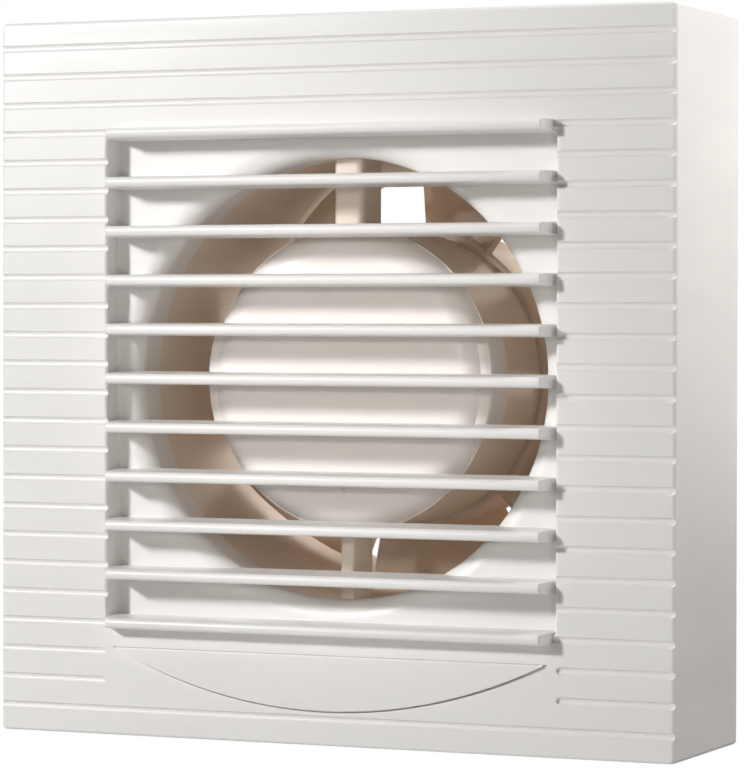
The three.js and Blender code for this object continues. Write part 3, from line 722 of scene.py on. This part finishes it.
pick(blade, "VERT", at_tip_corner)
bpy.ops.mesh.bevel(offset=3.2 * MM, segments=5, affect="VERTICES")
bpy.ops.mesh.select_all(action="SELECT")
bpy.ops.mesh.normals_make_consistent(inside=False)
deselect()
shape_with(blade, "SOLIDIFY", thickness=1.5 * MM, offset=0)
shape_with(blade, "BEVEL", width=0.35 * MM, segments=2, limit_method="ANGLE",
           angle_limit=math.radians(50))

# %% The whole impeller
fan_blades = []
for i in range(FAN_BLADES):
    copy = blade.copy()
    copy.data = blade.data.copy()
    bpy.context.collection.objects.link(copy)
    copy.rotation_euler.y = -math.radians(first_edge + i * 360 / FAN_BLADES)
    activate(copy)
    bpy.ops.object.transform_apply(location=True, rotation=True, scale=True)
    fan_blades.append(copy)
bpy.data.objects.remove(blade)
hub_ribs = []
for i in range(6):
    hub_rib = box("hub_rib", (5, fan_front_y + 1, -0.7), (hub_radius - 1.2, 9.3, 0.7))
    hub_rib.rotation_euler.y = i * math.pi / 3
    activate(hub_rib)
    bpy.ops.object.transform_apply(location=True, rotation=True, scale=True)
    hub_ribs.append(hub_rib)
fan = join("impeller_moulding", [hub] + fan_blades + hub_ribs)
smooth(fan, 40)
print("impeller has", len(fan.data.polygons), "faces")

# %% [markdown]
# ## Writing shader maths
# A material's pattern is arithmetic on numbers that vary over the surface. Wiring Math
# nodes by hand is slow to read, so a small class wraps a socket and turns Python's
# operators into nodes.


# %% Sockets as numbers
class Number:
    """A socket that can be added, subtracted, multiplied and compared."""

    def __init__(self, tree, socket):
        self.tree = tree
        self.socket = socket

    def _with(self, operation, first, second):
        node = self.tree.nodes.new("ShaderNodeMath")
        node.operation = operation
        for slot_index, value in enumerate((first, second)):
            if isinstance(value, Number):
                self.tree.links.new(value.socket, node.inputs[slot_index])
            else:
                node.inputs[slot_index].default_value = value
        return Number(self.tree, node.outputs[0])

    def __add__(self, other):
        return self._with("ADD", self, other)

    __radd__ = __add__

    def __sub__(self, other):
        return self._with("SUBTRACT", self, other)

    def __rsub__(self, other):
        return self._with("SUBTRACT", other, self)

    def __mul__(self, other):
        return self._with("MULTIPLY", self, other)

    __rmul__ = __mul__

    def __gt__(self, other):
        return self._with("GREATER_THAN", self, other)


# %% A material under construction
class Finish:
    """A Principled material, with helpers that add and link its nodes."""

    def __init__(self, name, roughness, metallic=0.0, **uniform):
        self.material = bpy.data.materials.new(name)
        self.material.use_nodes = True
        self.tree = self.material.node_tree
        self.shader = self.tree.nodes["Principled BSDF"]
        self.set(Roughness=roughness, Metallic=metallic)
        for key, value in uniform.items():
            self.shader.inputs[key.replace("_", " ")].default_value = value

    def set(self, **values):
        """Feeds sockets of the shader, by number, colour or link."""
        for key, value in values.items():
            self.feed(self.shader.inputs[key.replace("_", " ")], value)

    def feed(self, target, value):
        if isinstance(value, Number):
            self.tree.links.new(value.socket, target)
        elif isinstance(value, bpy.types.NodeSocket):
            self.tree.links.new(value, target)
        elif target.type == "RGBA" and len(value) == 3:
            target.default_value = (*value, 1)
        else:
            target.default_value = value

    def node(self, kind, settings=None, **inputs):
        made = self.tree.nodes.new("ShaderNode" + kind)
        for key, value in (settings or {}).items():
            setattr(made, key, value)
        for key, value in inputs.items():
            self.feed(made.inputs[key.replace("_", " ")], value)
        return made

    def place(self, scale=(1, 1, 1)):
        """Object coordinates in metres, stretched by a scale."""
        coordinates = self.node("TexCoord").outputs["Object"]
        return self.node("Mapping", Vector=coordinates, Scale=scale).outputs["Vector"]

    def noise(self, scale, detail=2.0, stretch=(1, 1, 1), roughness=0.5):
        made = self.node("TexNoise", Vector=self.place(stretch), Scale=scale, Detail=detail,
                         Roughness=roughness)
        return Number(self.tree, made.outputs["Fac"])

    def range(self, number, low, high, to_low=0.0, to_high=1.0):
        """Stretches a number from one range to another, held at its ends."""
        made = self.node("MapRange", {"clamp": True, "interpolation_type": "SMOOTHSTEP"},
                         Value=number, From_Min=low, From_Max=high, To_Min=to_low,
                         To_Max=to_high)
        return Number(self.tree, made.outputs["Result"])

    def blend(self, factor, first, second):
        """A colour between two others."""
        made = self.node("Mix", {"data_type": "RGBA"})
        self.feed(made.inputs["Factor"], factor)
        self.feed(made.inputs[6], first)
        self.feed(made.inputs[7], second)
        return made.outputs[2]

    def bump(self, height, distance, strength=1.0):
        self.set(Normal=self.node("Bump", Height=height, Distance=distance,
                                  Strength=strength).outputs["Normal"])


# %% [markdown]
# ## White plastics
# All the white parts are ABS, moulded smooth. Up close such plastic isn't one flat white:
# its colour drifts a little, it has a very fine grain which breaks up highlights, faint
# flow lines from the mould, and a few specks of dust. On the cap, two ejector pins have
# left faint rings. The cover is the coolest white. The housing and the impeller are given
# a warmer tan, which is painted warm shade for the dim light deep in the duct; the cap is
# given a lighter white, which is painted light for the light it gets through the louvres.


# %% Plastic finish
RING_RADIUS = 0.00425
RING_EDGE = 0.00018


def moulded_plastic(name, light, dark, roughness, grain=0.00003, dust=0.06, rings=()):
    """White plastic, with a faint ring round each height given in rings, in metres."""
    finish = Finish(name, roughness, IOR=1.5)
    drift = finish.range(finish.noise(14, detail=3), 0.35, 0.65)
    colour = finish.blend(drift, light, dark)
    specks = finish.range(finish.noise(900, detail=0), 0.78, 0.8)
    patch = finish.range(finish.noise(60, detail=1), 0.5, 0.7)
    colour = finish.blend(specks * patch * dust, colour, (0.25, 0.2, 0.16))
    flow = finish.noise(30, detail=2, stretch=(1, 1, 9))
    finish.set(Base_Color=colour,
               Roughness=finish.range(flow, 0.3, 0.7, roughness - 0.05, roughness + 0.06))
    height = finish.noise(2600, detail=2) * 0.5 + flow * 0.5
    for ring_z in rings:
        flat = finish.place((1, 0, 1))
        centred = finish.node("Mapping", Vector=flat, Location=(0, 0, -ring_z)).outputs["Vector"]
        length = finish.node("VectorMath", {"operation": "LENGTH"}, Vector=centred)
        away = Number(finish.tree, length.outputs["Value"])
        risen = finish.range(away, RING_RADIUS - RING_EDGE, RING_RADIUS)
        height = height + (risen - finish.range(away, RING_RADIUS, RING_RADIUS + RING_EDGE)) * 1.5
    finish.bump(height, grain, 0.35)
    return finish.material


cover_plastic = moulded_plastic("cover_plastic", (0.945, 0.93, 0.912), (0.93, 0.912, 0.89), 0.36)
# The housing's and the impeller's tan is painted warm shade: it stands in for the dim, warm light
# deep in the duct.
body_plastic = moulded_plastic("body_plastic", (0.94, 0.83, 0.72), (0.92, 0.80, 0.685), 0.38)
fan_plastic = moulded_plastic("fan_plastic", (0.93, 0.79, 0.665), (0.91, 0.76, 0.63), 0.4)
# The cap's lighter white is painted light: it stands in for the light that reaches the cap through
# the louvres.
cap_plastic = moulded_plastic("cap_plastic", (0.965, 0.935, 0.905), (0.95, 0.915, 0.88), 0.36,
                              rings=(-0.0135, 0.0135))
terminal_nylon = moulded_plastic("terminal_nylon", (0.82, 0.80, 0.74), (0.79, 0.76, 0.69), 0.45)

# %% [markdown]
# ## Metals, rubber and wire
# Inside are bare metals: sheet steel pressed into a stack, with the edge of each sheet
# showing as a fine line; zinc plate with its soft bluish bloom; bronze, brass, copper and
# cast aluminium. Each varies in roughness more than in colour.


# %% Metal finish
def bare_metal(name, light, dark, roughness, grain=(1, 1, 1), scale=400, depth=0.00002):
    finish = Finish(name, roughness, metallic=1.0)
    mottle = finish.range(finish.noise(scale, detail=4, stretch=grain), 0.3, 0.7)
    finish.set(Base_Color=finish.blend(mottle, light, dark),
               Roughness=finish.range(mottle, 0, 1, roughness - 0.06, roughness + 0.1))
    finish.bump(mottle, depth, 0.4)
    return finish.material


def sheet_stack(name):
    """Sheets of 0.5 mm steel, stacked along the fan's axis."""
    finish = Finish(name, 0.42, metallic=1.0)
    wave = finish.node("TexWave", {"wave_type": "BANDS", "bands_direction": "Y"},
                       Vector=finish.place(), Scale=628.0, Distortion=0.0)
    edge = finish.range(Number(finish.tree, wave.outputs["Fac"]), 0.05, 0.35)
    mottle = finish.noise(500, detail=3)
    finish.set(Base_Color=finish.blend(edge, (0.12, 0.12, 0.13), (0.42, 0.43, 0.45)),
               Roughness=finish.range(mottle, 0.3, 0.7, 0.36, 0.52))
    finish.bump(edge, 0.0001, 0.5)
    return finish.material


def wound_wire(name):
    """Fine enamelled wire, laid side by side round the bobbin, with painted shade between the turns
    and a painted highlight on each turn's crown.
    """
    finish = Finish(name, 0.3, metallic=0.75, Coat_Weight=0.5)
    wave = finish.node("TexWave", {"wave_type": "BANDS", "bands_direction": "X"},
                       Vector=finish.place(), Scale=1250.0, Distortion=1.2)
    wire_crowns_and_painted_shade = Number(finish.tree, wave.outputs["Fac"])
    # The colour runs dark between the turns and light on each crown: painted shade and painted
    # highlight. The same bands also make the bump.
    finish.set(Base_Color=finish.blend(wire_crowns_and_painted_shade, (0.22, 0.07, 0.025), (0.6, 0.26, 0.09)))
    finish.bump(wire_crowns_and_painted_shade, 0.0001, 0.6)
    return finish.material


def soft_rubber(name):
    finish = Finish(name, 0.75)
    mottle = finish.noise(700, detail=4)
    finish.set(Base_Color=finish.blend(mottle, (0.018, 0.018, 0.02), (0.05, 0.05, 0.052)),
               Roughness=finish.range(mottle, 0.3, 0.7, 0.68, 0.85))
    finish.bump(mottle, 0.00003, 0.5)
    return finish.material


def wire_sleeve(name, light, dark):
    finish = Finish(name, 0.4)
    mottle = finish.noise(300, detail=3)
    finish.set(Base_Color=finish.blend(mottle, light, dark),
               Roughness=finish.range(mottle, 0.3, 0.7, 0.34, 0.48))
    finish.bump(mottle, 0.00002, 0.3)
    return finish.material


finishes = {
    "lamination": sheet_stack("lamination"),
    "bobbin_nylon": moulded_plastic("bobbin_nylon", (0.78, 0.76, 0.68), (0.74, 0.71, 0.62), 0.5),
    "enamel_wire": wound_wire("enamel_wire"),
    "copper": bare_metal("copper", (0.78, 0.42, 0.26), (0.6, 0.3, 0.18), 0.32),
    "zinc_steel": bare_metal("zinc_steel", (0.72, 0.74, 0.77), (0.6, 0.63, 0.67), 0.32),
    "bronze": bare_metal("bronze", (0.6, 0.44, 0.24), (0.46, 0.32, 0.17), 0.45, scale=1500),
    "shaft_steel": bare_metal("shaft_steel", (0.78, 0.78, 0.79), (0.7, 0.7, 0.72), 0.2,
                              grain=(1, 12, 1), scale=250),
    "aluminium": bare_metal("aluminium", (0.8, 0.81, 0.82), (0.68, 0.69, 0.71), 0.42),
    "brass": bare_metal("brass", (0.83, 0.66, 0.33), (0.7, 0.53, 0.24), 0.28),
    "rubber": soft_rubber("rubber"),
    "terminal_nylon": terminal_nylon,
    "fibre": wire_sleeve("fibre", (0.33, 0.19, 0.12), (0.24, 0.13, 0.08)),
    "lead_brown": wire_sleeve("lead_brown", (0.16, 0.065, 0.035), (0.12, 0.045, 0.025)),
    "lead_blue": wire_sleeve("lead_blue", (0.03, 0.16, 0.5), (0.02, 0.12, 0.4)),
    "cover_plastic": cover_plastic,
    "body_plastic": body_plastic,
    "cap_plastic": cap_plastic,
    "fan_plastic": fan_plastic,
}
print(len(finishes), "finishes")

# %% [markdown]
# ## Dressing the parts
# The frame's record names a finish for each of its parts. Parts whose shape is already
# right keep their mesh and only change their material. The new mouldings replace the
# frame's plainer ones and ride on the same bodies.

# %% Materials on the frame's own parts
for entry in frame["record"]["subparts"]:
    part = frame["nodes"][entry["node"]]
    for material_slot in part.material_slots:
        material_slot.material = finishes[entry["material_slot"]]


# %% New mouldings
def dress(piece, body, slot, node=None):
    """Gives a piece its finish and its body, and hides the frame's part that it replaces, if one is
    named.
    """
    piece.data.materials.clear()
    piece.data.materials.append(finishes[slot])
    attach(piece, body)
    if node:
        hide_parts(node)


dress(shell, "cover", "cover_plastic", "front_cover")
for piece in (ring, louvres, pad):
    dress(piece, "cover", "cover_plastic")
dress(plate, "housing", "body_plastic", "housing")
for piece in (duct, cup, struts):
    dress(piece, "housing", "body_plastic")
dress(cap, "housing", "cap_plastic", "motor_cap")
dress(fan, "rotor", "fan_plastic", "impeller")

# %% [markdown]
# ## The studio
# White on white needs light that comes mostly from one side, or the shapes vanish. A
# small key light stands high on the left and in front, so each louvre throws a short
# shadow down to the right. A light at the upper right shows the cover's side wall, a warm
# one behind the duct shines through the fan, a weak one on the right keeps the shade open,
# and a snoot sends a narrow beam through the louvres. The white room adds very little.


# %% Lights
def hang(data, place, target):
    """Puts a light at a place in metres and aims it at a target."""
    lamp = bpy.data.objects.new(data.name, data)
    bpy.context.collection.objects.link(lamp)
    lamp.location = place
    lamp.rotation_euler = (Vector(target) - Vector(place)).to_track_quat("-Z", "Y").to_euler()


def area_light(name, place, target, size, watts, colour=(1, 1, 1)):
    data = bpy.data.lights.new(name, "AREA")
    data.shape = "DISK"
    data.size = size
    data.energy = watts
    data.color = colour
    hang(data, place, target)


def snoot(name, place, target, cone, watts, colour):
    """A narrow beam with a soft edge, for the inside of the opening only."""
    data = bpy.data.lights.new(name, "SPOT")
    data.spot_size = math.radians(cone)
    data.spot_blend = 0.25
    data.shadow_soft_size = 0.02
    data.energy = watts
    data.color = colour
    hang(data, place, target)


area_light("key_light", (-0.35, -0.51, 0.21), (0, -0.04, 0), 0.09, 2.7)
area_light("side_light", (0.27, -0.01, 0.30), (0.07, -0.02, 0), 0.14, 1.1)
area_light("back_light", (0.05, 0.30, 0.05), (0, 0, 0), 0.25, 0.5, (1, 0.9, 0.8))
area_light("right_fill", (0.42, -0.62, -0.05), (0, -0.03, 0), 0.25, 0.38, (1, 0.95, 0.9))
snoot("opening_light", (-0.06, -0.85, 0.1), (0, -0.035, 0), 7.0, 4.4, (1, 0.93, 0.87))

# %% Room
world = bpy.data.worlds.new("white_room")
bpy.context.scene.world = world
world.use_nodes = True
tree = world.node_tree
tree.nodes.clear()
rays = tree.nodes.new("ShaderNodeLightPath")
seen = tree.nodes.new("ShaderNodeBackground")
seen.inputs["Color"].default_value = (1, 1, 1, 1)
lit = tree.nodes.new("ShaderNodeBackground")
lit.inputs["Color"].default_value = (1, 0.985, 0.965, 1)
direction = tree.nodes.new("ShaderNodeTexCoord")
split = tree.nodes.new("ShaderNodeSeparateXYZ")
height = tree.nodes.new("ShaderNodeMapRange")
for key, value in {"From Min": -0.3, "From Max": 0.8, "To Min": 0.006, "To Max": 0.05}.items():
    height.inputs[key].default_value = value
mix = tree.nodes.new("ShaderNodeMixShader")
output = tree.nodes.new("ShaderNodeOutputWorld")
tree.links.new(direction.outputs["Generated"], split.inputs[0])
tree.links.new(split.outputs["Z"], height.inputs["Value"])
tree.links.new(height.outputs["Result"], lit.inputs["Strength"])
tree.links.new(rays.outputs["Is Camera Ray"], mix.inputs["Fac"])
tree.links.new(lit.outputs[0], mix.inputs[1])
tree.links.new(seen.outputs[0], mix.inputs[2])
tree.links.new(mix.outputs[0], output.inputs["Surface"])
bpy.context.scene.view_settings.view_transform = "Standard"

# %% Floor
FLOOR_Z = -0.26
deselect()
bpy.ops.mesh.primitive_plane_add(size=2.4, location=(0, 0, FLOOR_Z))
floor = bpy.context.object
floor.name = floor.data.name = "studio_floor"
bpy.ops.object.transform_apply(location=True, rotation=True, scale=True)
floor_paint = Finish("floor_paint", 0.7)
floor_paint.set(Base_Color=(0.86, 0.86, 0.855))
floor.data.materials.append(floor_paint.material)
